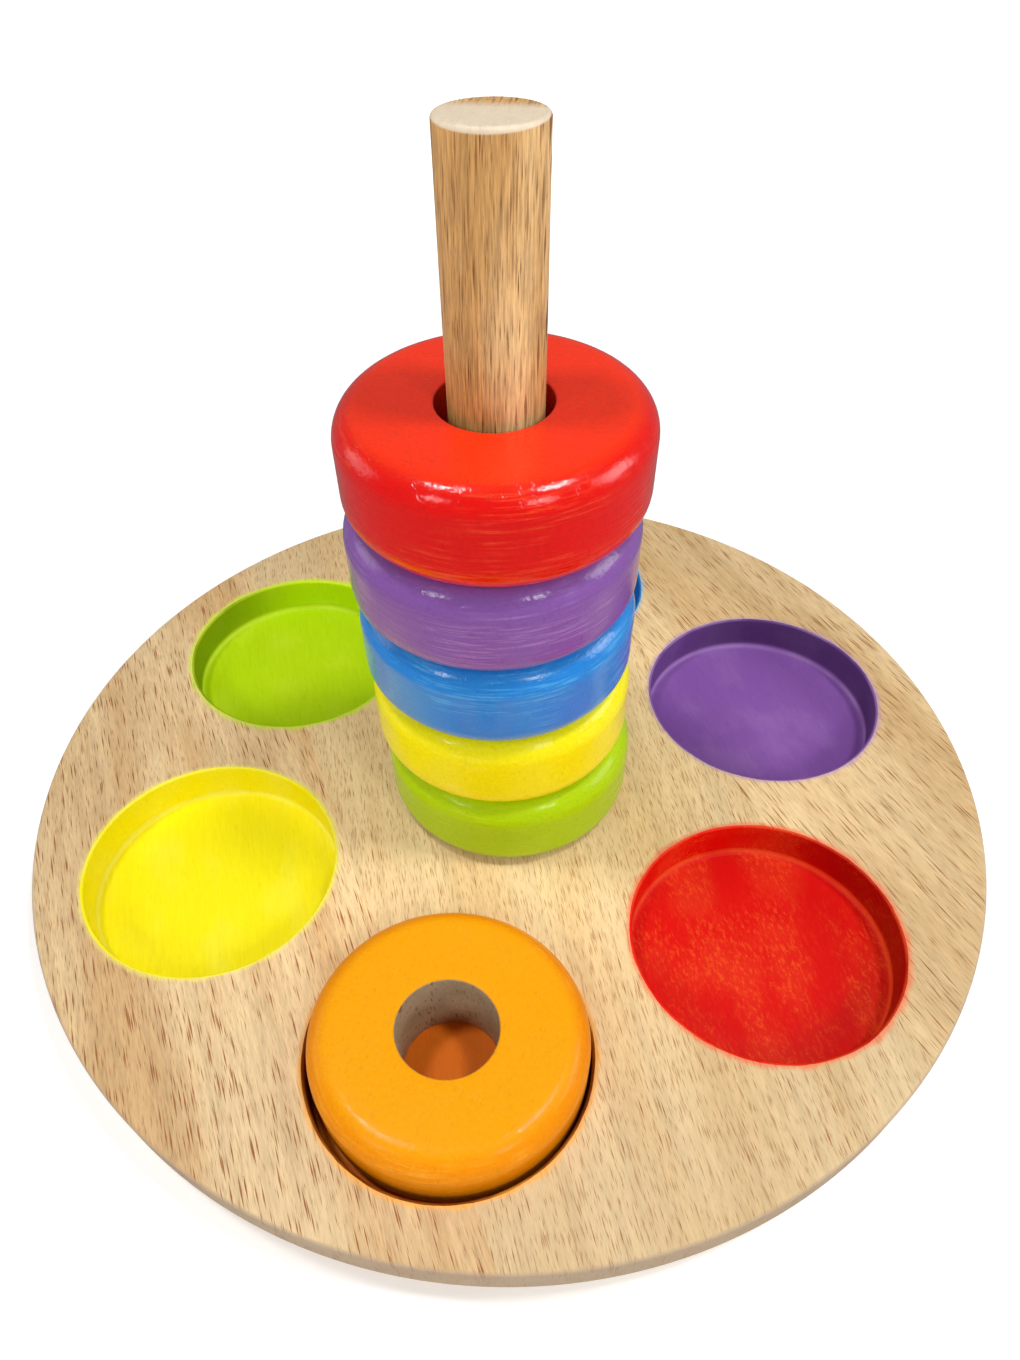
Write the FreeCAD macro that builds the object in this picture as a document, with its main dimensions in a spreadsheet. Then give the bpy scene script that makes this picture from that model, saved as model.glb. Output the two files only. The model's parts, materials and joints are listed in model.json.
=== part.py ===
import FreeCAD, Part
import Sketcher
import os

# Colour-sorting ring stacker: a round beech board with six round recesses,
# a beech peg glued into its middle, five painted rings on the peg and the
# sixth ring lying in its own recess.
#
# Frame, in millimetres: the origin is the centre of the board's underside,
# +Z is up the peg and -Y points at the orange recess.

DIMENSIONS = [
    ("board_diameter", 282.0),
    ("board_thickness", 20.0),
    ("board_top_bevel", 1.0),
    ("board_lower_bevel", 8.0),  # wide, so that fingers get under the board
    ("grain_angle", 30.0),  # from +X to the direction across the grain
    ("left_glue_line", -52.0),  # offset across the grain from the board's centre
    ("right_glue_line", 64.5),
    ("recess_count", 6),
    ("recess_diameter", 72.0),
    ("recess_depth", 12.4),
    ("recess_circle_radius", 91.0),
    ("recess_rim_bevel", 0.5),
    ("recess_floor_bevel", 1.0),
    ("socket_depth", 14.0),
    ("socket_glue_gap", 0.05),
    ("peg_diameter", 20.6),
    ("peg_height", 173.0),  # above the board
    ("peg_tip_round", 1.0),
    ("peg_foot_bevel", 1.0),
    ("ring_diameter", 70.0),
    ("ring_thickness", 24.4),
    ("ring_bore_diameter", 25.5),
    ("ring_edge_round", 6.5),
    ("ring_bore_round", 0.4),
    ("slab_margin", 1.0),  # how far the slabs that part the staves stand out past the board
]

# The rings on the peg from the lowest up, each with the X and Y distance by
# which it rests off the peg's axis, because its bore is wider than the peg.
STACKED_RINGS = [
    ("green_ring", 1.7, 1.0),
    ("yellow_ring", -0.3, 1.8),
    ("blue_ring", -1.1, 1.6),
    ("purple_ring", -1.6, 1.1),
    ("red_ring", -0.5, 0.7),
]

# The orange ring's place in its recess, off the recess's own axis.
ORANGE_SHIFT_X = 0.3
ORANGE_SHIFT_Y = 0.9

# From the board's centre to the far ends of the slabs that part the staves.
SLAB_REACH = "$board_diameter / 2 + $slab_margin"

SAME_LENGTH = 1e-4

doc = FreeCAD.newDocument("RingStacker")


def make_sheet():
    """The driving dimensions, one row each, with the name as the value's alias."""
    sheet = doc.addObject("Spreadsheet::Sheet", "Dimensions")
    for row, (name, value) in enumerate(DIMENSIONS, 1):
        sheet.set(f"A{row}", name)
        sheet.set(f"B{row}", str(value))
        sheet.setAlias(f"B{row}", name)
    doc.recompute()
    return sheet


sheet = make_sheet()


def bind(item, path, formula):
    """Ties a property to the sheet. In the formula, a leading $ marks a dimension's name."""
    item.setExpression(path, formula.replace("$", "Dimensions."))


def new_body(label):
    body = doc.addObject("PartDesign::Body", label)
    body.Label = label
    return body


def origin_plane(body, role):
    return next(item for item in body.Origin.OriginFeatures if item.Role == role)


def new_sketch(body, name, role, lift="0"):
    """A sketch on one of the body's own origin planes, lifted along its normal."""
    sketch = body.newObject("Sketcher::SketchObject", name)
    sketch.AttachmentSupport = [(origin_plane(body, role), "")]
    sketch.MapMode = "FlatFace"
    bind(sketch, "AttachmentOffset.Base.z", lift)
    return sketch


def circle_sketch(body, name, diameter, lift="0"):
    """A level circle on the Z axis."""
    sketch = new_sketch(body, name, "XY_Plane", lift)
    sketch.addGeometry(Part.Circle(FreeCAD.Vector(0, 0, 0), FreeCAD.Vector(0, 0, 1), 1))
    sketch.addConstraint(Sketcher.Constraint("Coincident", 0, 3, -1, 1))
    size = sketch.addConstraint(Sketcher.Constraint("Diameter", 0, 2))
    sketch.renameConstraint(size, "width")
    bind(sketch, "Constraints.width", diameter)
    return sketch


def recess_sketch(body):
    """One recess's circle, on the board's top face, towards -Y."""
    sketch = new_sketch(body, "recess_outline", "XY_Plane", "$board_thickness")
    centre = FreeCAD.Vector(0, -1, 0)
    sketch.addGeometry(Part.Circle(centre, FreeCAD.Vector(0, 0, 1), 1))
    sketch.addConstraint(Sketcher.Constraint("PointOnObject", 0, 3, -2))
    size = sketch.addConstraint(Sketcher.Constraint("Diameter", 0, 2))
    sketch.renameConstraint(size, "width")
    bind(sketch, "Constraints.width", "$recess_diameter")
    place = sketch.addConstraint(Sketcher.Constraint("DistanceY", 0, 3, -1, 1, 1))
    sketch.renameConstraint(place, "reach")
    bind(sketch, "Constraints.reach", "$recess_circle_radius")
    return sketch


def pad(body, name, sketch, length):
    feature = body.newObject("PartDesign::Pad", name)
    feature.Profile = sketch
    bind(feature, "Length", length)
    doc.recompute()
    return feature


def pocket(body, name, sketch, depth):
    """Cuts straight down from the sketch, and makes sure that it did cut."""
    before = body.Shape.Volume
    feature = body.newObject("PartDesign::Pocket", name)
    feature.Profile = sketch
    bind(feature, "Length", depth)
    doc.recompute()
    if body.Shape.Volume > before - 1:
        raise RuntimeError(f"{name} removed nothing")
    return feature


def circle_edges(feature, radius, height):
    """The names of the feature's level round edges of one radius at one height."""
    names = []
    for number, edge in enumerate(feature.Shape.Edges, 1):
        curve = edge.Curve
        if not isinstance(curve, Part.Circle):
            continue
        if abs(curve.Radius - radius) > SAME_LENGTH or abs(abs(curve.Axis.z) - 1) > SAME_LENGTH:
            continue
        if abs(curve.Center.z - height) < SAME_LENGTH:
            names.append(f"Edge{number}")
    if not names:
        raise RuntimeError(f"no edge of radius {radius} at height {height} on {feature.Name}")
    return names


def dress(body, kind, name, base, edges, size):
    """Rounds or bevels the named edges of the base feature."""
    feature = body.newObject(f"PartDesign::{kind}", name)
    feature.Base = (base, edges)
    bind(feature, "Radius" if kind == "Fillet" else "Size", size)
    doc.recompute()
    body.Tip = feature
    return feature


def make_board():
    """The whole board as one blank: the disc, its six recesses and the peg's socket."""
    body = new_body("board_blank")
    top = sheet.board_thickness
    outline = circle_sketch(body, "disc_outline", "$board_diameter")
    disc = pad(body, "disc", outline, "$board_thickness")
    upper_rim = circle_edges(disc, sheet.board_diameter / 2, top)
    eased = dress(body, "Chamfer", "board_upper_edge", disc, upper_rim, "$board_top_bevel")
    lower_rim = circle_edges(eased, sheet.board_diameter / 2, 0)
    dress(body, "Chamfer", "board_lower_edge", eased, lower_rim, "$board_lower_bevel")

    recess = pocket(body, "recess", recess_sketch(body), "$recess_depth")
    ring_of_six = body.newObject("PartDesign::PolarPattern", "six_recesses")
    ring_of_six.Originals = [recess]
    ring_of_six.Axis = (doc.getObject("disc_outline"), ["N_Axis"])
    ring_of_six.Angle = 360
    bind(ring_of_six, "Occurrences", "$recess_count")
    body.Tip = ring_of_six
    doc.recompute()

    recess_radius = sheet.recess_diameter / 2
    mouths = circle_edges(ring_of_six, recess_radius, top)
    beveled = dress(body, "Chamfer", "recess_rims", ring_of_six, mouths, "$recess_rim_bevel")
    floors = circle_edges(beveled, recess_radius, top - sheet.recess_depth)
    dress(body, "Chamfer", "recess_floors", beveled, floors, "$recess_floor_bevel")

    socket_width = "$peg_diameter + 2 * $socket_glue_gap"
    socket = circle_sketch(body, "socket_outline", socket_width, "$board_thickness")
    pocket(body, "peg_socket", socket, "$socket_depth")
    return body


def make_stave(label, blank, inner_edge, outer_edge):
    """One of the board's glued staves: the blank between two planes along the grain."""
    slab = doc.addObject("Part::Box", f"{label}_slab")
    bind(slab, "Length", f"({outer_edge}) - ({inner_edge})")
    bind(slab, "Width", f"2 * ({SLAB_REACH})")
    bind(slab, "Height", "$board_thickness + 2 * $slab_margin")
    corner_x = f"({inner_edge}) * cos($grain_angle) + ({SLAB_REACH}) * sin($grain_angle)"
    corner_y = f"({inner_edge}) * sin($grain_angle) - ({SLAB_REACH}) * cos($grain_angle)"
    bind(slab, "Placement.Base.x", corner_x)
    bind(slab, "Placement.Base.y", corner_y)
    bind(slab, "Placement.Base.z", "-$slab_margin")
    bind(slab, "Placement.Rotation.Angle", "$grain_angle")
    stave = doc.addObject("Part::Common", label)
    stave.Label = label
    stave.Base = blank
    stave.Tool = slab
    return stave


def make_staves(blank):
    return [
        make_stave("board_left_stave", blank, f"-({SLAB_REACH})", "$left_glue_line"),
        make_stave("board_middle_stave", blank, "$left_glue_line", "$right_glue_line"),
        make_stave("board_right_stave", blank, "$right_glue_line", SLAB_REACH),
    ]


def make_peg():
    """The dowel, from the socket's floor to its rounded tip."""
    body = new_body("peg")
    foot = sheet.board_thickness - sheet.socket_depth
    tip = sheet.board_thickness + sheet.peg_height
    outline = circle_sketch(body, "peg_outline", "$peg_diameter", "$board_thickness - $socket_depth")
    dowel = pad(body, "dowel", outline, "$peg_height + $socket_depth")
    radius = sheet.peg_diameter / 2
    tip_edge = circle_edges(dowel, radius, tip)
    rounded = dress(body, "Fillet", "peg_tip", dowel, tip_edge, "$peg_tip_round")
    foot_edge = circle_edges(rounded, radius, foot)
    dress(body, "Chamfer", "peg_foot", rounded, foot_edge, "$peg_foot_bevel")
    return body


def make_ring(label, east, north, height):
    """A turned ring: round outer edges, nearly sharp bore edges, standing at height."""
    body = new_body(label)
    outline = circle_sketch(body, f"{label}_outline", "$ring_diameter")
    disc = pad(body, f"{label}_disc", outline, "$ring_thickness")
    top = sheet.ring_thickness
    rims = circle_edges(disc, sheet.ring_diameter / 2, top)
    rims += circle_edges(disc, sheet.ring_diameter / 2, 0)
    rounded = dress(body, "Fillet", f"{label}_edges", disc, rims, "$ring_edge_round")
    bore = circle_sketch(body, f"{label}_bore_outline", "$ring_bore_diameter", "$ring_thickness")
    drilled = pocket(body, f"{label}_bore", bore, "$ring_thickness")
    bore_radius = sheet.ring_bore_diameter / 2
    mouths = circle_edges(drilled, bore_radius, top)
    mouths += circle_edges(drilled, bore_radius, 0)
    dress(body, "Fillet", f"{label}_bore_edges", drilled, mouths, "$ring_bore_round")
    bind(body, "Placement.Base.x", east)
    bind(body, "Placement.Base.y", north)
    bind(body, "Placement.Base.z", height)
    return body


def make_rings():
    rings = []
    for level, (label, east, north) in enumerate(STACKED_RINGS):
        height = f"$board_thickness + {level} * $ring_thickness"
        rings.append(make_ring(label, str(east), str(north), height))
    orange_north = f"{ORANGE_SHIFT_Y} - $recess_circle_radius"
    orange_height = "$board_thickness - $recess_depth"
    rings.append(make_ring("orange_ring", str(ORANGE_SHIFT_X), orange_north, orange_height))
    return rings


def check(parts):
    """Stops if any object failed to recompute or any part isn't one valid solid."""
    for item in doc.Objects:
        if "Invalid" in item.State or "Error" in item.State:
            raise RuntimeError(f"{item.Label} is {item.State}")
    for part in parts:
        shape = part.Shape
        if shape.isNull() or not shape.isValid() or len(shape.Solids) != 1:
            raise RuntimeError(f"{part.Label} isn't one valid solid")


def write(parts):
    os.makedirs("parts", exist_ok=True)
    for part in parts:
        part.Shape.exportStep(f"parts/{part.Label}.step")
        box = part.Shape.optimalBoundingBox(False)
        print(
            f"{part.Label}: {part.Shape.Volume:.0f} mm3,"
            f" x {box.XMin:.1f} to {box.XMax:.1f}, y {box.YMin:.1f} to {box.YMax:.1f},"
            f" z {box.ZMin:.1f} to {box.ZMax:.1f}"
        )


staves = make_staves(make_board())
peg = make_peg()
rings = make_rings()
doc.recompute()
pieces = staves + [peg] + rings
check(pieces)
write(pieces)
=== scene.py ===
import json
import math

import bmesh
import bpy
from mathutils import Matrix, Vector, noise


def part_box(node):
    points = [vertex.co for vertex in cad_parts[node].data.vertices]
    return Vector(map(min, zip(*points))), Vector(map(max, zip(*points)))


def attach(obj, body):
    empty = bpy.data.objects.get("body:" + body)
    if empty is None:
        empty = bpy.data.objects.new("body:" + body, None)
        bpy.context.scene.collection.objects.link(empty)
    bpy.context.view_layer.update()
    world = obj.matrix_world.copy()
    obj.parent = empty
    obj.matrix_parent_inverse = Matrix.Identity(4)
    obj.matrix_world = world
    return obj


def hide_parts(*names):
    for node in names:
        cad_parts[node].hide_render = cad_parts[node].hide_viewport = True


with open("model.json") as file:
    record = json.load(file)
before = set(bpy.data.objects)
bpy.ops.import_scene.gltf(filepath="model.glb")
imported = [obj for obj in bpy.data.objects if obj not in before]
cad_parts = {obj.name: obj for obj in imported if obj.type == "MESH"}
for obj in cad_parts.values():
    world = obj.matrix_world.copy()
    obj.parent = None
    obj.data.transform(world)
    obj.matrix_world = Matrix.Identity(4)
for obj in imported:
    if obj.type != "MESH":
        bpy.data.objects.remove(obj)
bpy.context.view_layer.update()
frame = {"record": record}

# A beech board with six painted recesses, a beech peg, five painted rings on
# the peg and an orange one in its recess. Metres; +Z up, -Y towards the orange
# recess. The main sizes come from the frame; the recess radius, the edges and the
# glue lines repeat the part's own dimensions, because the frame doesn't state them.

MM = 0.001
PER_METRE = 1000.0

# ---------------------------------------------------------------- the frame's sizes

STAVES = ("board_left_stave", "board_middle_stave", "board_right_stave")
STACK = ("green", "yellow", "blue", "purple", "red")
COLOURS = STACK + ("orange",)

board_low = Vector(min(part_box(name)[0][axis] for name in STAVES) for axis in range(3))
board_high = Vector(max(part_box(name)[1][axis] for name in STAVES) for axis in range(3))
BOARD_TOP = board_high.z
BOARD_RADIUS = (board_high.x - board_low.x) / 2

ring_low, ring_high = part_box("orange_ring")
RING_RADIUS = (ring_high.x - ring_low.x) / 2
RING_HEIGHT = ring_high.z - ring_low.z
RECESS_FLOOR = ring_low.z

openings = frame["record"]["physics"]["openings"]
opening_low, opening_high = openings[0]["box_m"]
RECESS_CIRCLE = math.hypot(opening_low[0] + opening_high[0], opening_low[1] + opening_high[1]) / 2

mounts = {mount["name"]: mount for mount in frame["record"]["mounts"]}
BORE_RADIUS = mounts["orange_ring_bore"]["dims"]["r_mm"] * MM

peg_low, peg_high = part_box("peg")
PEG_RADIUS = (peg_high.x - peg_low.x) / 2

RECESS_RADIUS = 36.0 * MM

# How far each edge is rounded or beveled. The round ones are a little softer
# here than the part's own bevels.
RECESS_RIM_ROUND = 0.7 * MM
RECESS_FLOOR_ROUND = 1.6 * MM
BOARD_EDGE_ROUND = 1.1 * MM
BOARD_LOWER_BEVEL = 8.0 * MM
BEVEL_ROUND = 1.5 * MM
RING_EDGE_ROUND = 6.5 * MM
RING_BORE_ROUND = 0.5 * MM
PEG_FOOT_BEVEL = 1.0 * MM
PEG_TIP_ROUND = 0.8 * MM
PEG_TIP_SLOPE = 0.07  # the tip is sawn a little off square, lower at the back

# The film of paint in a recess: how thick it is, how far it laps past the rim's
# rounding, and how far its edge wavers.
PAINT = 0.1 * MM
PAINT_LAP = 0.1 * MM
PAINT_WAVER = 0.3 * MM

# Sides of the polygons that stand for circles.
BOARD_SEGMENTS = 360
RING_SEGMENTS = 128
RECESS_SEGMENTS = 128
PEG_SEGMENTS = 96
SHARP_ANGLE = 35  # degrees; edges sharper than this are not shaded smooth

# The recess of each colour stands at this angle about the peg, from +X.
RECESS_ANGLE = {"orange": 270, "red": 330, "purple": 30, "blue": 90, "green": 150, "yellow": 210}

# The board's glue lines run at right angles to this direction, at these
# distances from the peg's axis, so that each stave lies between two of them.
ACROSS_ANGLE = math.radians(30)
ACROSS = Vector((math.cos(ACROSS_ANGLE), math.sin(ACROSS_ANGLE), 0))
GLUE_LINES = (-52 * MM, 64.5 * MM)


def recess_centre(colour):
    angle = math.radians(RECESS_ANGLE[colour])
    return Vector((RECESS_CIRCLE * math.cos(angle), RECESS_CIRCLE * math.sin(angle), 0))


# ---------------------------------------------------------------- mesh helpers

def arc(centre, radius, start, end, steps):
    """Points of a round corner, as (distance from the axis, height), between angles in degrees."""
    points = []
    for step in range(steps + 1):
        angle = math.radians(start + (end - start) * step / steps)
        points.append((centre[0] + radius * math.cos(angle), centre[1] + radius * math.sin(angle)))
    return points


def run(start, end, steps):
    """Points along a straight stretch of a profile, without its two ends."""
    points = []
    for step in range(1, steps):
        share = step / steps
        distance = start[0] + (end[0] - start[0]) * share
        points.append((distance, start[1] + (end[1] - start[1]) * share))
    return points


def add_lathe(mesh, profile, segments, centre, closed):
    """Turns a profile about the vertical axis through centre. A point on the axis becomes a pole."""
    rows = []
    for radius, height in profile:
        if radius < 1e-7:
            rows.append([mesh.verts.new((centre.x, centre.y, centre.z + height))])
            continue
        row = []
        for segment in range(segments):
            angle = 2 * math.pi * segment / segments
            east = centre.x + radius * math.cos(angle)
            north = centre.y + radius * math.sin(angle)
            row.append(mesh.verts.new((east, north, centre.z + height)))
        rows.append(row)
    pairs = list(zip(rows, rows[1:]))
    if closed:
        pairs.append((rows[-1], rows[0]))
    for first, second in pairs:
        for segment in range(segments):
            after = (segment + 1) % segments
            corners = [first[segment % len(first)], first[after % len(first)]]
            corners += [second[after % len(second)], second[segment % len(second)]]
            unique = list(dict.fromkeys(corners))
            mesh.faces.new(unique)
    return rows


def finish_mesh(mesh, name, origin=Vector((0, 0, 0))):
    """Makes an object of the mesh, with its own origin moved to the given point."""
    bmesh.ops.recalc_face_normals(mesh, faces=mesh.faces)
    mesh.transform(Matrix.Translation(-origin))
    data = bpy.data.meshes.new(name)
    mesh.to_mesh(data)
    mesh.free()
    data.shade_smooth()
    data.set_sharp_from_angle(angle=math.radians(SHARP_ANGLE))
    made = bpy.data.objects.new(name, data)
    made.location = origin
    bpy.context.scene.collection.objects.link(made)
    return made


# ---------------------------------------------------------------- node helpers

class Shader:
    """One material's node tree, built with short calls. Lengths in the tree are millimetres."""

    def __init__(self, name):
        self.material = bpy.data.materials.new(name)
        self.material.use_nodes = True
        self.tree = self.material.node_tree
        self.tree.nodes.clear()
        self.place = self.node("TexCoord").outputs["Object"]
        self.millimetres = self.scaled(self.place, (PER_METRE, PER_METRE, PER_METRE))

    def feed(self, socket, value):
        if isinstance(value, bpy.types.NodeSocket):
            self.tree.links.new(value, socket)
        else:
            socket.default_value = value

    def node(self, kind, values=None, **settings):
        made = self.tree.nodes.new("ShaderNode" + kind)
        for key, value in settings.items():
            setattr(made, key, value)
        for key, value in (values or {}).items():
            self.feed(made.inputs[key], value)
        return made

    def scaled(self, vector, scale, turn=0.0, move=(0, 0, 0)):
        """The vector moved, turned about Z, then scaled."""
        moved = self.node("VectorMath", {0: vector, 1: move}, operation="ADD").outputs[0]
        if turn:
            values = {"Vector": moved, "Rotation": (0, 0, turn)}
            moved = self.node("Mapping", values).outputs[0]
        return self.node("VectorMath", {0: moved, 1: scale}, operation="MULTIPLY").outputs[0]

    def level(self, vector):
        """The vector without its height."""
        return self.node("VectorMath", {0: vector, 1: (1, 1, 0)}, operation="MULTIPLY").outputs[0]

    def reach(self, vector):
        """The distance of a place from the vertical axis."""
        return self.node("VectorMath", {0: self.level(vector)}, operation="LENGTH").outputs["Value"]

    def height(self):
        return self.node("SeparateXYZ", {0: self.millimetres}).outputs[2]

    def math(self, operation, first, second=0.0, third=0.0):
        values = {0: first, 1: second, 2: third}
        return self.node("Math", values, operation=operation).outputs[0]

    def noise(self, vector, scale=1.0, detail=2.0, roughness=0.5):
        values = {"Vector": vector, "Scale": scale, "Detail": detail, "Roughness": roughness}
        return self.node("TexNoise", values).outputs["Fac"]

    def band(self, value, low, high, out_low=0.0, out_high=1.0):
        """Maps value smoothly from low..high to out_low..out_high, and holds it beyond."""
        values = {
            "Value": value,
            "From Min": low,
            "From Max": high,
            "To Min": out_low,
            "To Max": out_high,
        }
        return self.node("MapRange", values, interpolation_type="SMOOTHSTEP").outputs[0]

    def mix(self, share, first, second, blend="MIX"):
        made = self.node("Mix", data_type="RGBA", blend_type=blend)
        self.feed(made.inputs[0], share)
        self.feed(made.inputs[6], first)
        self.feed(made.inputs[7], second)
        return made.outputs[2]

    def darken(self, colour, share):
        """Multiplies the colour by a plain number socket."""
        grey = self.node("CombineColor", {0: share, 1: share, 2: share}).outputs[0]
        return self.mix(1.0, colour, grey, "MULTIPLY")

    def finish(self, colour, roughness, height, depth, values=None):
        """depth is how tall, in millimetres, a height of one stands. values are further inputs."""
        bump = self.node("Bump", {"Height": height, "Distance": depth * MM, "Strength": 1.0}).outputs[0]
        inputs = {"Base Color": colour, "Roughness": roughness, "Normal": bump, "Coat Normal": bump}
        inputs.update(values or {})
        surface = self.node("BsdfPrincipled", inputs)
        output = self.node("OutputMaterial")
        self.tree.links.new(surface.outputs[0], output.inputs["Surface"])
        return self.material


def srgb(red, green, blue):
    """A colour as it is named on a screen, 0 to 255, turned into the shader's linear values."""
    def linear(value):
        value /= 255
        return value / 12.92 if value <= 0.04045 else ((value + 0.055) / 1.055) ** 2.4
    return (linear(red), linear(green), linear(blue), 1.0)


# ---------------------------------------------------------------- beech

def flecks(shader, grain, width, length, share, offset):
    """Beech's short dark ray flecks, 0 to 1. share is how many of the places for one hold one."""
    cells = shader.scaled(grain, (1 / width, 1 / length, 1 / length), move=offset)
    values = {"Vector": cells, "Scale": 1.0, "Randomness": 1.0}
    rays = shader.node("TexVoronoi", values, distance="MANHATTAN", feature="F1")
    chance = shader.node("SeparateColor", {0: rays.outputs["Color"]})
    held = shader.math("LESS_THAN", chance.outputs[0], share)
    size = shader.band(chance.outputs[1], 0.0, 1.0, 0.35, 0.65)
    edge = shader.math("SUBTRACT", size, rays.outputs["Distance"])
    inside = shader.math("MULTIPLY", shader.band(edge, 0.0, 0.22), held)
    return shader.math("MULTIPLY", inside, shader.band(chance.outputs[2], 0.0, 1.0, 0.4, 1.0))


def beech(shader, vector, tone, seed):
    """Beech in a space in millimetres: X across the grain, Y along it and Z into the wood.

    tone holds the pale and warm wood, the flecks' colour, the share of their places that is
    taken, the width and length of one place, and how long and how deep the fibre streaks are.
    Returns the colour and the height.
    """
    slow = shader.scaled(vector, (0.012, 0.006, 0.012), move=(seed, seed, seed))
    waver = shader.noise(slow, detail=1.0)
    side = shader.math("MULTIPLY_ADD", waver, 10.0, -5.0)
    shift = shader.node("CombineXYZ", {0: side, 1: 0.0, 2: 0.0}).outputs[0]
    grain = shader.node("VectorMath", {0: vector, 1: shift}, operation="ADD").outputs[0]
    offset = (seed * 13.7, seed * 31.1, seed * 5.3)

    broad = shader.noise(shader.scaled(grain, (0.05, 0.008, 0.05), move=offset), detail=3.0)
    colour = shader.mix(shader.band(broad, 0.34, 0.66), tone["pale"], tone["warm"])

    wide = shader.scaled(grain, (0.3, 0.012, 0.2), move=offset)
    bands = shader.noise(wide, detail=5.0, roughness=0.65)
    colour = shader.darken(colour, shader.band(bands, 0.3, 0.66, 0.91, 1.04))

    streak_length, streak_depth = tone["streak"]
    streaks = shader.scaled(grain, (2.0, 1 / streak_length, 1.4), move=offset)
    fibres = shader.noise(streaks, detail=4.0, roughness=0.7)
    colour = shader.darken(colour, shader.band(fibres, 0.34, 0.66, 1 - streak_depth, 1 + streak_depth / 2))

    width, length = tone["size"]
    large = flecks(shader, grain, width, length, tone["share"], offset)
    elsewhere = (offset[1], offset[2], offset[0])
    small = flecks(shader, grain, 0.8 * width, 0.6 * length, tone["share"], elsewhere)
    marks = shader.math("MAXIMUM", large, shader.math("MULTIPLY", small, 0.75))
    colour = shader.mix(marks, colour, tone["fleck"])

    height = shader.math("MULTIPLY_ADD", marks, -0.8, fibres)
    return colour, height


MIDDLE_TONE = {
    "pale": srgb(235, 206, 157),
    "warm": srgb(227, 193, 140),
    "fleck": srgb(172, 112, 56),
    "share": 0.8,
    "size": (0.52, 8.0),
    "streak": (4.0, 0.09),
}
LEFT_TONE = {
    "pale": srgb(243, 211, 160),
    "warm": srgb(225, 183, 128),
    "fleck": srgb(166, 100, 50),
    "share": 0.7,
    "size": (0.48, 9.0),
    "streak": (7.0, 0.15),
}
RIGHT_TONE = {
    "pale": srgb(239, 207, 156),
    "warm": srgb(223, 186, 132),
    "fleck": srgb(166, 108, 54),
    "share": 0.8,
    "size": (0.5, 12.0),
    "streak": (7.0, 0.12),
}
PEG_TONE = {
    "pale": srgb(240, 202, 144),
    "warm": srgb(196, 146, 84),
    "fleck": srgb(116, 66, 22),
    "share": 0.7,
    "size": (0.5, 13.0),
    "streak": (9.0, 0.3),
}
BORE_TONE = {
    "pale": srgb(218, 192, 156),
    "warm": srgb(180, 146, 108),
    "fleck": srgb(146, 108, 74),
    "share": 0.3,
    "size": (0.5, 4.0),
    "streak": (4.0, 0.1),
}

# The board's side: sanded wood that is greyer, and darkened with painted shade for a side that faces away
# from the light.
SIDE_GREY_AND_SHADE = srgb(184, 160, 136)
END_GRAIN_COLOUR = srgb(216, 198, 172)

# How tall, in millimetres, the wood's and the paint's finest relief stands.
WOOD_RELIEF = 0.06
PAINT_RELIEF = 0.09

# How far each recess's paint has crept into the wood about its rim, in
# millimetres, and how strongly it colours it there.
STAINS = {
    "green": (2.4, 0.8),
    "yellow": (1.6, 0.5),
    "blue": (1.5, 0.5),
    "purple": (1.6, 0.5),
    "red": (1.9, 0.6),
    "orange": (1.6, 0.75),
}


def stain(shader, wood, colour):
    """Paint that has crept from one recess into the wood around it, unevenly."""
    centre = recess_centre(colour) * PER_METRE
    from_centre = {0: shader.millimetres, 1: tuple(-centre)}
    away = shader.node("VectorMath", from_centre, operation="ADD").outputs[0]
    width, strength = STAINS[colour]
    rim = (RECESS_RADIUS + RECESS_RIM_ROUND) * PER_METRE
    edge = shader.noise(shader.level(away), 0.14, 6.0, 0.75)
    reach = shader.math("ADD", shader.reach(away), 1.1 * width)
    reach = shader.math("MULTIPLY_ADD", edge, -2.2 * width, reach)
    share = shader.band(reach, rim, rim + width, strength, 0.0)
    return shader.mix(share, wood, PAINT_COLOURS[colour][1])


def board_material(name, grain_degrees, tone, seed):
    """A stave's beech, with painted shade towards the rim and on its greyer side, stained about the
    recesses.
    """
    shader = Shader(name)
    grain = shader.scaled(shader.millimetres, (1, 1, 1), turn=-math.radians(grain_degrees - 90))
    colour, height = beech(shader, grain, tone, seed)
    reach = shader.reach(shader.millimetres)
    # Painted light and shade: a little lighter near the peg and darker out towards the rim, as if the
    # light fell off away from the middle.
    colour = shader.darken(colour, shader.band(reach, 45.0, 138.0, 1.04, 0.8))
    rim = BOARD_RADIUS * PER_METRE
    on_side = shader.band(reach, rim - 0.9, rim - 0.2, 0.0, 0.7)
    # The side takes the greyer colour with its painted shade.
    colour = shader.mix(on_side, colour, SIDE_GREY_AND_SHADE)
    for paint in COLOURS:
        colour = stain(shader, colour, paint)
    rough = shader.band(shader.noise(grain, 0.08, 2.0), 0.3, 0.7, 0.44, 0.54)
    return shader.finish(colour, rough, height, WOOD_RELIEF, {"Specular IOR Level": 0.3})


# ---------------------------------------------------------------- paint

# Each colour where it lies thick, and where it lies thin and shows the wood.
PAINT_COLOURS = {
    "green": (srgb(174, 207, 8), srgb(204, 222, 56)),
    "yellow": (srgb(243, 229, 14), srgb(246, 238, 96)),
    "blue": (srgb(34, 126, 206), srgb(96, 182, 230)),
    "purple": (srgb(125, 80, 155), srgb(164, 126, 184)),
    "red": (srgb(208, 10, 5), srgb(232, 84, 40)),
    "orange": (srgb(230, 136, 8), srgb(246, 172, 56)),
}

# The flat tops that show are a little lighter than the sides; the orange
# recess, which the ring covers, is a deeper orange.
TOP_COLOURS = {"red": srgb(230, 46, 10), "orange": srgb(236, 156, 12)}
FLOOR_COLOURS = {"orange": srgb(230, 114, 20)}

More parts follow.
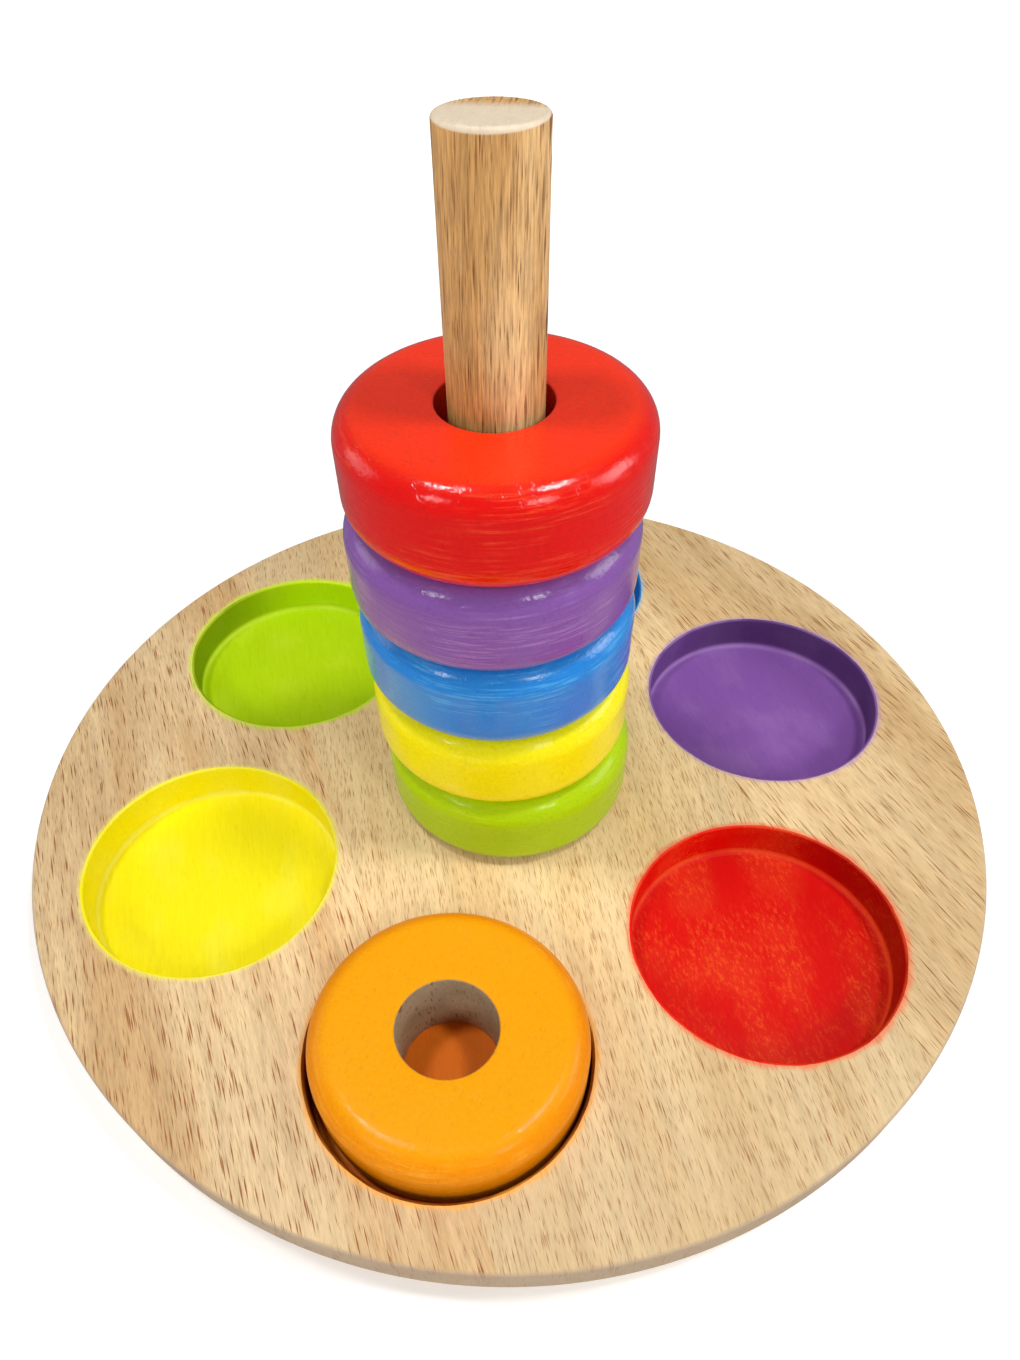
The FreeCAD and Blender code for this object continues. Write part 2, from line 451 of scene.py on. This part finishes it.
# Shading painted into each recess's wall, as a share of its floor's brightness:
# at its lightest, at its darkest, and the side where it is darkest, in degrees
# from +X. It doesn't follow the lights.
WALL_SHADES = {
    "green": (1.25, 0.5, 195),
    "yellow": (1.06, 1.0, 0),
    "blue": (0.9, 0.7, 45),
    "purple": (0.8, 0.5, 60),
    "red": (1.2, 0.6, 10),
    "orange": (0.22, 0.22, 0),
}

# The red ring's bore is painted too; the others show bare wood, from a little
# outside the bore inwards. In millimetres.
PAINTED_BORES = ("red",)
PAINTED_BORE_DEPTH = 2.0
BARE_MOUTH = 0.3

# How much clear gloss lies over each ring's paint.
GLOSS = {"green": 0.3, "yellow": 0.4, "blue": 0.8, "purple": 0.8, "red": 0.7, "orange": 0.1}

# The direction of the grain that shows through the paint, in degrees from +X.
RECESS_GRAIN = 112


def ring_material(colour, seed):
    """Brushed satin lacquer on a turned ring; the bore is bare wood, or painted at its mouth, with painted
    shade on its wall.
    """
    shader = Shader(f"{colour}_ring_paint")
    strong, thin = PAINT_COLOURS[colour]
    space = shader.millimetres
    offset = (seed * 17.0, seed * 5.0, seed * 9.0)
    reach = shader.reach(space)
    outside = RING_RADIUS * PER_METRE

    brushed = shader.scaled(space, (0.07, 0.07, 1.6), move=offset)
    strokes = shader.noise(brushed, detail=6.0, roughness=0.72)
    patches = shader.noise(shader.scaled(space, (0.05, 0.05, 0.07), move=offset), detail=3.0)
    sides = shader.band(reach, outside - 6.0, outside - 1.5)
    worn = shader.math("MULTIPLY", shader.band(strokes, 0.48, 0.62), shader.band(patches, 0.46, 0.6))
    worn = shader.math("MULTIPLY", worn, sides)
    painted = shader.mix(sides, TOP_COLOURS.get(colour, strong), strong)
    painted = shader.mix(shader.math("MULTIPLY", worn, 0.5), painted, thin)

    turned = shader.scaled(space, (1, 1, 1), turn=seed)
    pores = flecks(shader, turned, 0.6, 2.4, 0.6, offset)
    fine = shader.scaled(space, (1.1, 1.1, 1.1), move=offset)
    cloud = shader.noise(fine, detail=5.0, roughness=0.75)
    painted = shader.darken(painted, shader.math("MULTIPLY_ADD", pores, -0.07, 1.0))
    painted = shader.darken(painted, shader.band(cloud, 0.32, 0.68, 0.94, 1.05))

    bare = beech(shader, turned, BORE_TONE, seed)[0]
    bore = BORE_RADIUS * PER_METRE
    paint_start = bore - PAINTED_BORE_DEPTH if colour in PAINTED_BORES else bore + BARE_MOUTH
    edge = shader.math("MULTIPLY_ADD", cloud, 0.5, reach)
    covered = shader.band(edge, paint_start, paint_start + 0.15)
    colour_out = shader.mix(covered, bare, painted)
    # Painted shade: the bore's wall and mouth are darkened, as if little light reached into the hole.
    colour_out = shader.darken(colour_out, shader.band(reach, bore - 0.1, bore + 0.5, 0.6, 1.0))

    rough = shader.band(strokes, 0.3, 0.7, 0.24, 0.36)
    rough = shader.math("MULTIPLY_ADD", shader.math("SUBTRACT", 1.0, covered), 0.3, rough)
    pebbled = shader.scaled(space, (0.9, 0.9, 0.9), move=offset)
    peel = shader.noise(pebbled, detail=3.0, roughness=0.6)
    height = shader.math("MULTIPLY_ADD", pores, -0.4, shader.math("MULTIPLY", strokes, 0.35))
    height = shader.math("MULTIPLY_ADD", peel, 0.9, height)
    shine = {"Specular IOR Level": 0.06, "Coat Weight": GLOSS[colour], "Coat Roughness": 0.05}
    return shader.finish(colour_out, rough, height, PAINT_RELIEF, shine)


def recess_material(colour, seed):
    """The paint in a recess: the board's grain shows through, it is worn at the rim, a painted highlight
    runs along the floor's edge and painted shade lies on the wall.
    """
    shader = Shader(f"{colour}_recess_paint")
    strong, thin = PAINT_COLOURS[colour]
    strong = FLOOR_COLOURS.get(colour, strong)
    turn = -math.radians(RECESS_GRAIN - 90)
    turned = shader.scaled(shader.millimetres, (1, 1, 1), turn=turn)
    offset = (seed * 11.0, seed * 3.0, seed * 7.0)
    along = shader.scaled(turned, (1.3, 0.12, 1.3), move=offset)
    fibres = shader.noise(along, detail=3.0, roughness=0.65)
    patches = shader.noise(shader.scaled(turned, (0.07, 0.05, 0.07), move=offset), detail=4.0)
    thinned = shader.math("MULTIPLY", shader.band(patches, 0.42, 0.7), 0.2)
    colour_out = shader.mix(thinned, strong, thin)
    pores = flecks(shader, turned, 0.6, 3.0, 0.4, offset)
    colour_out = shader.darken(colour_out, shader.math("MULTIPLY_ADD", pores, -0.07, 1.0))
    colour_out = shader.darken(colour_out, shader.band(fibres, 0.3, 0.7, 0.97, 1.03))
    if colour == "red":
        colour_out = mottle(shader, turned, colour_out, offset)

    height = shader.height()
    floor = RECESS_FLOOR * PER_METRE
    # Painted highlight: a lighter line on the rounding where the floor meets the wall, as if it caught the
    # light, broken up by the patches.
    above = shader.band(height, floor + 0.1, floor + 0.6)
    below = shader.band(height, floor + 1.2, floor + 2.2, 1.0, 0.0)
    line = shader.math("MULTIPLY", above, below)
    line = shader.math("MULTIPLY", line, shader.band(patches, 0.3, 0.6, 0.25, 0.7))
    colour_out = shader.mix(line, colour_out, thin)

    # Painted shade on the wall, lighter or darker by side, from WALL_SHADES.
    on_wall = shader.band(height, floor + 0.8, floor + 3.0)
    change = shader.math("SUBTRACT", wall_shade(shader, colour), 1.0)
    colour_out = shader.darken(colour_out, shader.math("MULTIPLY_ADD", on_wall, change, 1.0))

    rim = BOARD_TOP * PER_METRE
    worn = shader.band(height, rim - 0.6, rim)
    worn = shader.math("MULTIPLY", worn, shader.band(patches, 0.3, 0.6, 0.0, 0.45))
    colour_out = shader.mix(worn, colour_out, thin)
    relief = shader.math("MULTIPLY_ADD", pores, -0.6, fibres)
    return shader.finish(colour_out, 0.45, relief, WOOD_RELIEF, {"Specular IOR Level": 0.12})


def wall_shade(shader, colour):
    """How light a recess's wall is, changing smoothly about the recess."""
    lightest, darkest, degrees = WALL_SHADES[colour]
    side = (math.cos(math.radians(degrees)), math.sin(math.radians(degrees)), 0)
    flat = shader.level(shader.millimetres)
    out = shader.node("VectorMath", {0: flat}, operation="NORMALIZE").outputs[0]
    facing = shader.node("VectorMath", {0: out, 1: side}, operation="DOT_PRODUCT").outputs["Value"]
    return shader.band(facing, -0.2, 0.85, lightest, darkest)


def mottle(shader, grain, colour, offset):
    """Small orange speckles along the grain, where thin red paint lets the wood through."""
    fine = shader.scaled(grain, (1.1, 0.45, 1.1), move=offset)
    specks = shader.noise(fine, detail=5.0, roughness=0.75)
    areas = shader.noise(shader.scaled(grain, (0.07, 0.04, 0.07), move=offset), detail=3.0)
    share = shader.math("MULTIPLY", shader.band(specks, 0.48, 0.66), shader.band(areas, 0.36, 0.62))
    return shader.mix(shader.math("MULTIPLY", share, 0.42), colour, srgb(240, 104, 34))


# ---------------------------------------------------------------- the pieces

def ring_profile():
    """A ring's closed outline, from the lower bore edge out, up and back in."""
    low, high = 0.0, RING_HEIGHT
    inner, outer = BORE_RADIUS, RING_RADIUS
    edge, mouth = RING_EDGE_ROUND, RING_BORE_ROUND
    points = arc((inner + mouth, low + mouth), mouth, 180, 270, 4)
    points += run((inner + mouth, low), (outer - edge, low), 4)
    points += arc((outer - edge, low + edge), edge, 270, 360, 12)
    points += run((outer, low + edge), (outer, high - edge), 5)
    points += arc((outer - edge, high - edge), edge, 0, 90, 12)
    points += run((outer - edge, high), (inner + mouth, high), 6)
    points += arc((inner + mouth, high - mouth), mouth, 90, 180, 4)
    points += run((inner, high - mouth), (inner, low + mouth), 6)
    return points


def make_ring(colour, seed):
    node = f"{colour}_ring"
    low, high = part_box(node)
    centre = Vector(((low.x + high.x) / 2, (low.y + high.y) / 2, low.z))
    mesh = bmesh.new()
    add_lathe(mesh, ring_profile(), RING_SEGMENTS, centre, closed=True)
    ring = finish_mesh(mesh, f"{colour}_ring_turned", centre)
    ring.data.materials.append(ring_material(colour, seed))
    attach(ring, node)
    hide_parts(node)


def recess_profile(gap, top, reach):
    """A recess from the middle of its floor up to the given top, then out to reach.

    gap is how far the outline lies behind the finished surface.
    """
    radius = RECESS_RADIUS + gap
    floor = RECESS_FLOOR - gap
    corner = RECESS_FLOOR_ROUND + gap
    rim = RECESS_RIM_ROUND - gap
    points = [(0.0, floor)]
    points += run((0.0, floor), (radius - corner, floor), 6)
    points += arc((radius - corner, floor + corner), corner, 270, 360, 6)
    points += run((radius, floor + corner), (radius, top - rim), 4)
    points += arc((radius + rim, top - rim), rim, 180, 90, 5)
    points.append((reach, top))
    return points


def make_recess_paint(colour, seed):
    """The film of paint in a recess, with a wavering edge on the rim."""
    centre = recess_centre(colour)
    edge = RECESS_RADIUS + RECESS_RIM_ROUND + PAINT_LAP
    behind = 1.5 * PAINT
    face = recess_profile(0.0, BOARD_TOP, edge)
    back = recess_profile(behind, BOARD_TOP - behind, edge)
    mesh = bmesh.new()
    rows = add_lathe(mesh, face + back[::-1], RECESS_SEGMENTS, centre, closed=False)
    lip = len(face) - 1
    for row, share in ((rows[lip - 1], 0.3), (rows[lip], 1.0), (rows[lip + 1], 1.0)):
        for vert in row:
            out = (vert.co - centre).to_2d().to_3d().normalized()
            wobble = noise.noise(out * 6 + Vector((seed, 0, 0))) + 0.6 * noise.noise(out * 19)
            vert.co += out * wobble * PAINT_WAVER * share
    for vert in rows[lip]:
        vert.co.z -= 0.05 * MM
    for vert in rows[lip - 1]:
        vert.co.z += 0.03 * MM
    film = finish_mesh(mesh, f"{colour}_recess_paint", centre)
    film.data.materials.append(recess_material(colour, seed))
    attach(film, "base")


def board_side():
    """The disc's outline from its underside out over the wide bevel and up to the top edge."""
    edge, bevel, soft = BOARD_EDGE_ROUND, BOARD_LOWER_BEVEL, BEVEL_ROUND
    start = soft * math.tan(math.radians(22.5))
    points = arc((BOARD_RADIUS - bevel - start, soft), soft, 270, 315, 4)
    points += arc((BOARD_RADIUS - soft, bevel + start), soft, 315, 360, 4)
    points += run(points[-1], (BOARD_RADIUS, BOARD_TOP - edge), 3)
    points += arc((BOARD_RADIUS - edge, BOARD_TOP - edge), edge, 0, 90, 6)
    return points


def add_board(mesh):
    """The whole board as one closed mesh: the disc with its six recesses."""
    rim_rows = add_lathe(mesh, board_side(), BOARD_SEGMENTS, Vector((0, 0, 0)), closed=False)
    mesh.faces.new(rim_rows[0])
    outline = recess_profile(PAINT, BOARD_TOP, RECESS_RADIUS + RECESS_RIM_ROUND + 2 * PAINT)
    loops = [rim_rows[-1]]
    for colour in COLOURS:
        rows = add_lathe(mesh, outline, RECESS_SEGMENTS, recess_centre(colour), closed=False)
        loops.append(rows[-1])
    edges = []
    for loop in loops:
        for first, second in zip(loop, loop[1:] + loop[:1]):
            edges.append(mesh.edges.get((first, second)))
    bmesh.ops.triangle_fill(mesh, use_beauty=True, edges=edges)


def make_stave(name, low_line, high_line, material):
    """One stave, cut from the board along its glue lines, its cut faces closed."""
    mesh = bmesh.new()
    add_board(mesh)
    for line, sign in ((low_line, -1), (high_line, 1)):
        if line is None:
            continue
        cut = bmesh.ops.bisect_plane(
            mesh,
            geom=mesh.verts[:] + mesh.edges[:] + mesh.faces[:],
            dist=1e-7,
            plane_co=ACROSS * line,
            plane_no=ACROSS * sign,
            clear_outer=True,
        )
        edges = [item for item in cut["geom_cut"] if isinstance(item, bmesh.types.BMEdge)]
        bmesh.ops.triangle_fill(mesh, use_beauty=True, edges=edges)
    stave = finish_mesh(mesh, f"{name}_routed")
    stave.data.materials.append(material)
    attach(stave, "base")
    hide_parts(name)


def peg_material():
    """Beech with its grain up the peg, and paler end grain on top."""
    shader = Shader("peg_beech_wood")
    turn = (math.radians(90), 0, 0)
    upright = shader.node("Mapping", {"Vector": shader.millimetres, "Rotation": turn}).outputs[0]
    colour, height = beech(shader, upright, PEG_TONE, 2.2)
    tip = (peg_high.z - peg_low.z) * PER_METRE
    on_top = shader.band(shader.height(), tip - 0.5, tip - 0.1)
    pits = shader.noise(shader.millimetres, 0.9, 5.0, 0.7)
    end_grain = shader.darken(END_GRAIN_COLOUR, shader.band(pits, 0.3, 0.7, 0.93, 1.03))
    colour = shader.mix(on_top, colour, end_grain)
    return shader.finish(colour, 0.42, height, WOOD_RELIEF, {"Specular IOR Level": 0.35})


def make_peg():
    """The dowel, its foot in the board, with an eased top edge."""
    tip = peg_high.z - peg_low.z
    foot, edge = PEG_FOOT_BEVEL, PEG_TIP_ROUND
    profile = [(0.0, 0.0), (PEG_RADIUS - foot, 0.0), (PEG_RADIUS, foot)]
    profile += run((PEG_RADIUS, foot), (PEG_RADIUS, tip - edge), 12)
    profile += arc((PEG_RADIUS - edge, tip - edge), edge, 0, 90, 6)
    profile += run((PEG_RADIUS - edge, tip), (0.0, tip), 4)
    profile.append((0.0, tip))
    mesh = bmesh.new()
    centre = Vector((0, 0, peg_low.z))
    add_lathe(mesh, profile, PEG_SEGMENTS, centre, closed=False)
    for vert in mesh.verts:
        if vert.co.z > peg_high.z - 2 * edge:
            vert.co.z -= vert.co.y * PEG_TIP_SLOPE
    peg = finish_mesh(mesh, "peg_dowel", centre)
    peg.data.materials.append(peg_material())
    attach(peg, "base")
    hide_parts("peg")


left = board_material("left_stave_beech", 119, LEFT_TONE, 1.0)
middle = board_material("middle_stave_beech", 110.5, MIDDLE_TONE, 4.0)
right = board_material("right_stave_beech", 125.5, RIGHT_TONE, 7.0)
make_stave("board_left_stave", None, GLUE_LINES[0], left)
make_stave("board_middle_stave", GLUE_LINES[0], GLUE_LINES[1], middle)
make_stave("board_right_stave", GLUE_LINES[1], None, right)
make_peg()
for index, colour in enumerate(COLOURS):
    make_ring(colour, index + 1.5)
    make_recess_paint(colour, index + 1.5)


# ---------------------------------------------------------------- floor, light and camera

def make_floor():
    """Flat white paper that glows more the farther it lies from the toy, to read as pure white."""
    mesh = bmesh.new()
    bmesh.ops.create_grid(mesh, x_segments=1, y_segments=1, size=4.0)
    floor = finish_mesh(mesh, "pale_floor")
    shader = Shader("pale_floor_paper")
    away = shader.node("VectorMath", {0: shader.millimetres}, operation="LENGTH").outputs["Value"]
    grain = shader.noise(shader.millimetres, 0.5, 3.0)
    paper = shader.darken(srgb(236, 236, 236), shader.band(grain, 0.2, 0.8, 0.99, 1.0))
    glow = {
        "Specular IOR Level": 0.1,
        "Emission Color": (1.0, 1.0, 1.0, 1.0),
        "Emission Strength": shader.band(away, 250.0, 700.0, 0.25, 0.9),
    }
    paper_material = shader.finish(paper, 0.9, grain, 0.02, glow)
    floor.data.materials.append(paper_material)
    floor.visible_glossy = False


def make_light(name, place, target, size, power, mirrored=True):
    """A softbox. mirrored is whether the glossy paint shows it as a highlight."""
    data = bpy.data.lights.new(name, "AREA")
    data.shape = "RECTANGLE"
    data.size, data.size_y = size
    data.energy = power
    light = bpy.data.objects.new(name, data)
    light.location = place
    light.visible_glossy = mirrored
    aim = Vector(target) - Vector(place)
    light.rotation_mode = "QUATERNION"
    light.rotation_quaternion = aim.to_track_quat("-Z", "Y")
    bpy.context.scene.collection.objects.link(light)


def make_world(strength):
    world = bpy.data.worlds.new("studio")
    world.use_nodes = True
    background = world.node_tree.nodes["Background"]
    background.inputs[0].default_value = (1.0, 1.0, 1.0, 1.0)
    background.inputs[1].default_value = strength
    bpy.context.scene.world = world


def make_camera():
    """Close above the front edge, looking down on the board and past the peg."""
    heading = math.radians(-11.13)
    down = math.radians(51.64)
    roll = math.radians(-2.29)
    level = math.cos(down)
    forward = Vector((math.sin(heading) * level, math.cos(heading) * level, -math.sin(down)))
    data = bpy.data.cameras.new("camera")
    data.sensor_width = 36
    data.lens = 25.13
    data.shift_x = 0.0169
    data.shift_y = 0.083
    data.clip_start = 0.01
    camera = bpy.data.objects.new("camera", data)
    camera.location = (0.0309, -0.1839, 0.2463)
    camera.rotation_mode = "QUATERNION"
    tilt = Matrix.Rotation(roll, 3, "Z").to_quaternion()
    camera.rotation_quaternion = forward.to_track_quat("-Z", "Y") @ tilt
    bpy.context.scene.collection.objects.link(camera)
    bpy.context.scene.camera = camera


make_floor()
make_world(0.2)
make_light("over_left", (-0.28, -0.05, 0.95), (0, 0, 0.05), (0.12, 0.12), 2.75)
make_light("over_right", (0.36, -0.02, 0.95), (0, 0, 0.05), (0.12, 0.12), 3.05)
make_light("front_fill", (0.1, -1.6, 1.0), (0, 0, 0.08), (0.8, 0.5), 8.5, mirrored=False)
make_light("front_left", (-0.5, -0.65, 0.75), (0, 0, 0.08), (0.15, 0.15), 1.1)
make_light("front_right", (0.55, -0.6, 0.75), (0, 0, 0.08), (0.15, 0.15), 1.5)
make_light("right_fill", (0.85, 0.15, 0.5), (0, 0, 0.08), (0.4, 0.4), 2.7)
make_light("left_sheen", (-0.85, 0.1, 0.4), (0, 0, 0.08), (0.4, 0.4), 0.8)
make_camera()
bpy.context.scene.view_settings.view_transform = "Standard"
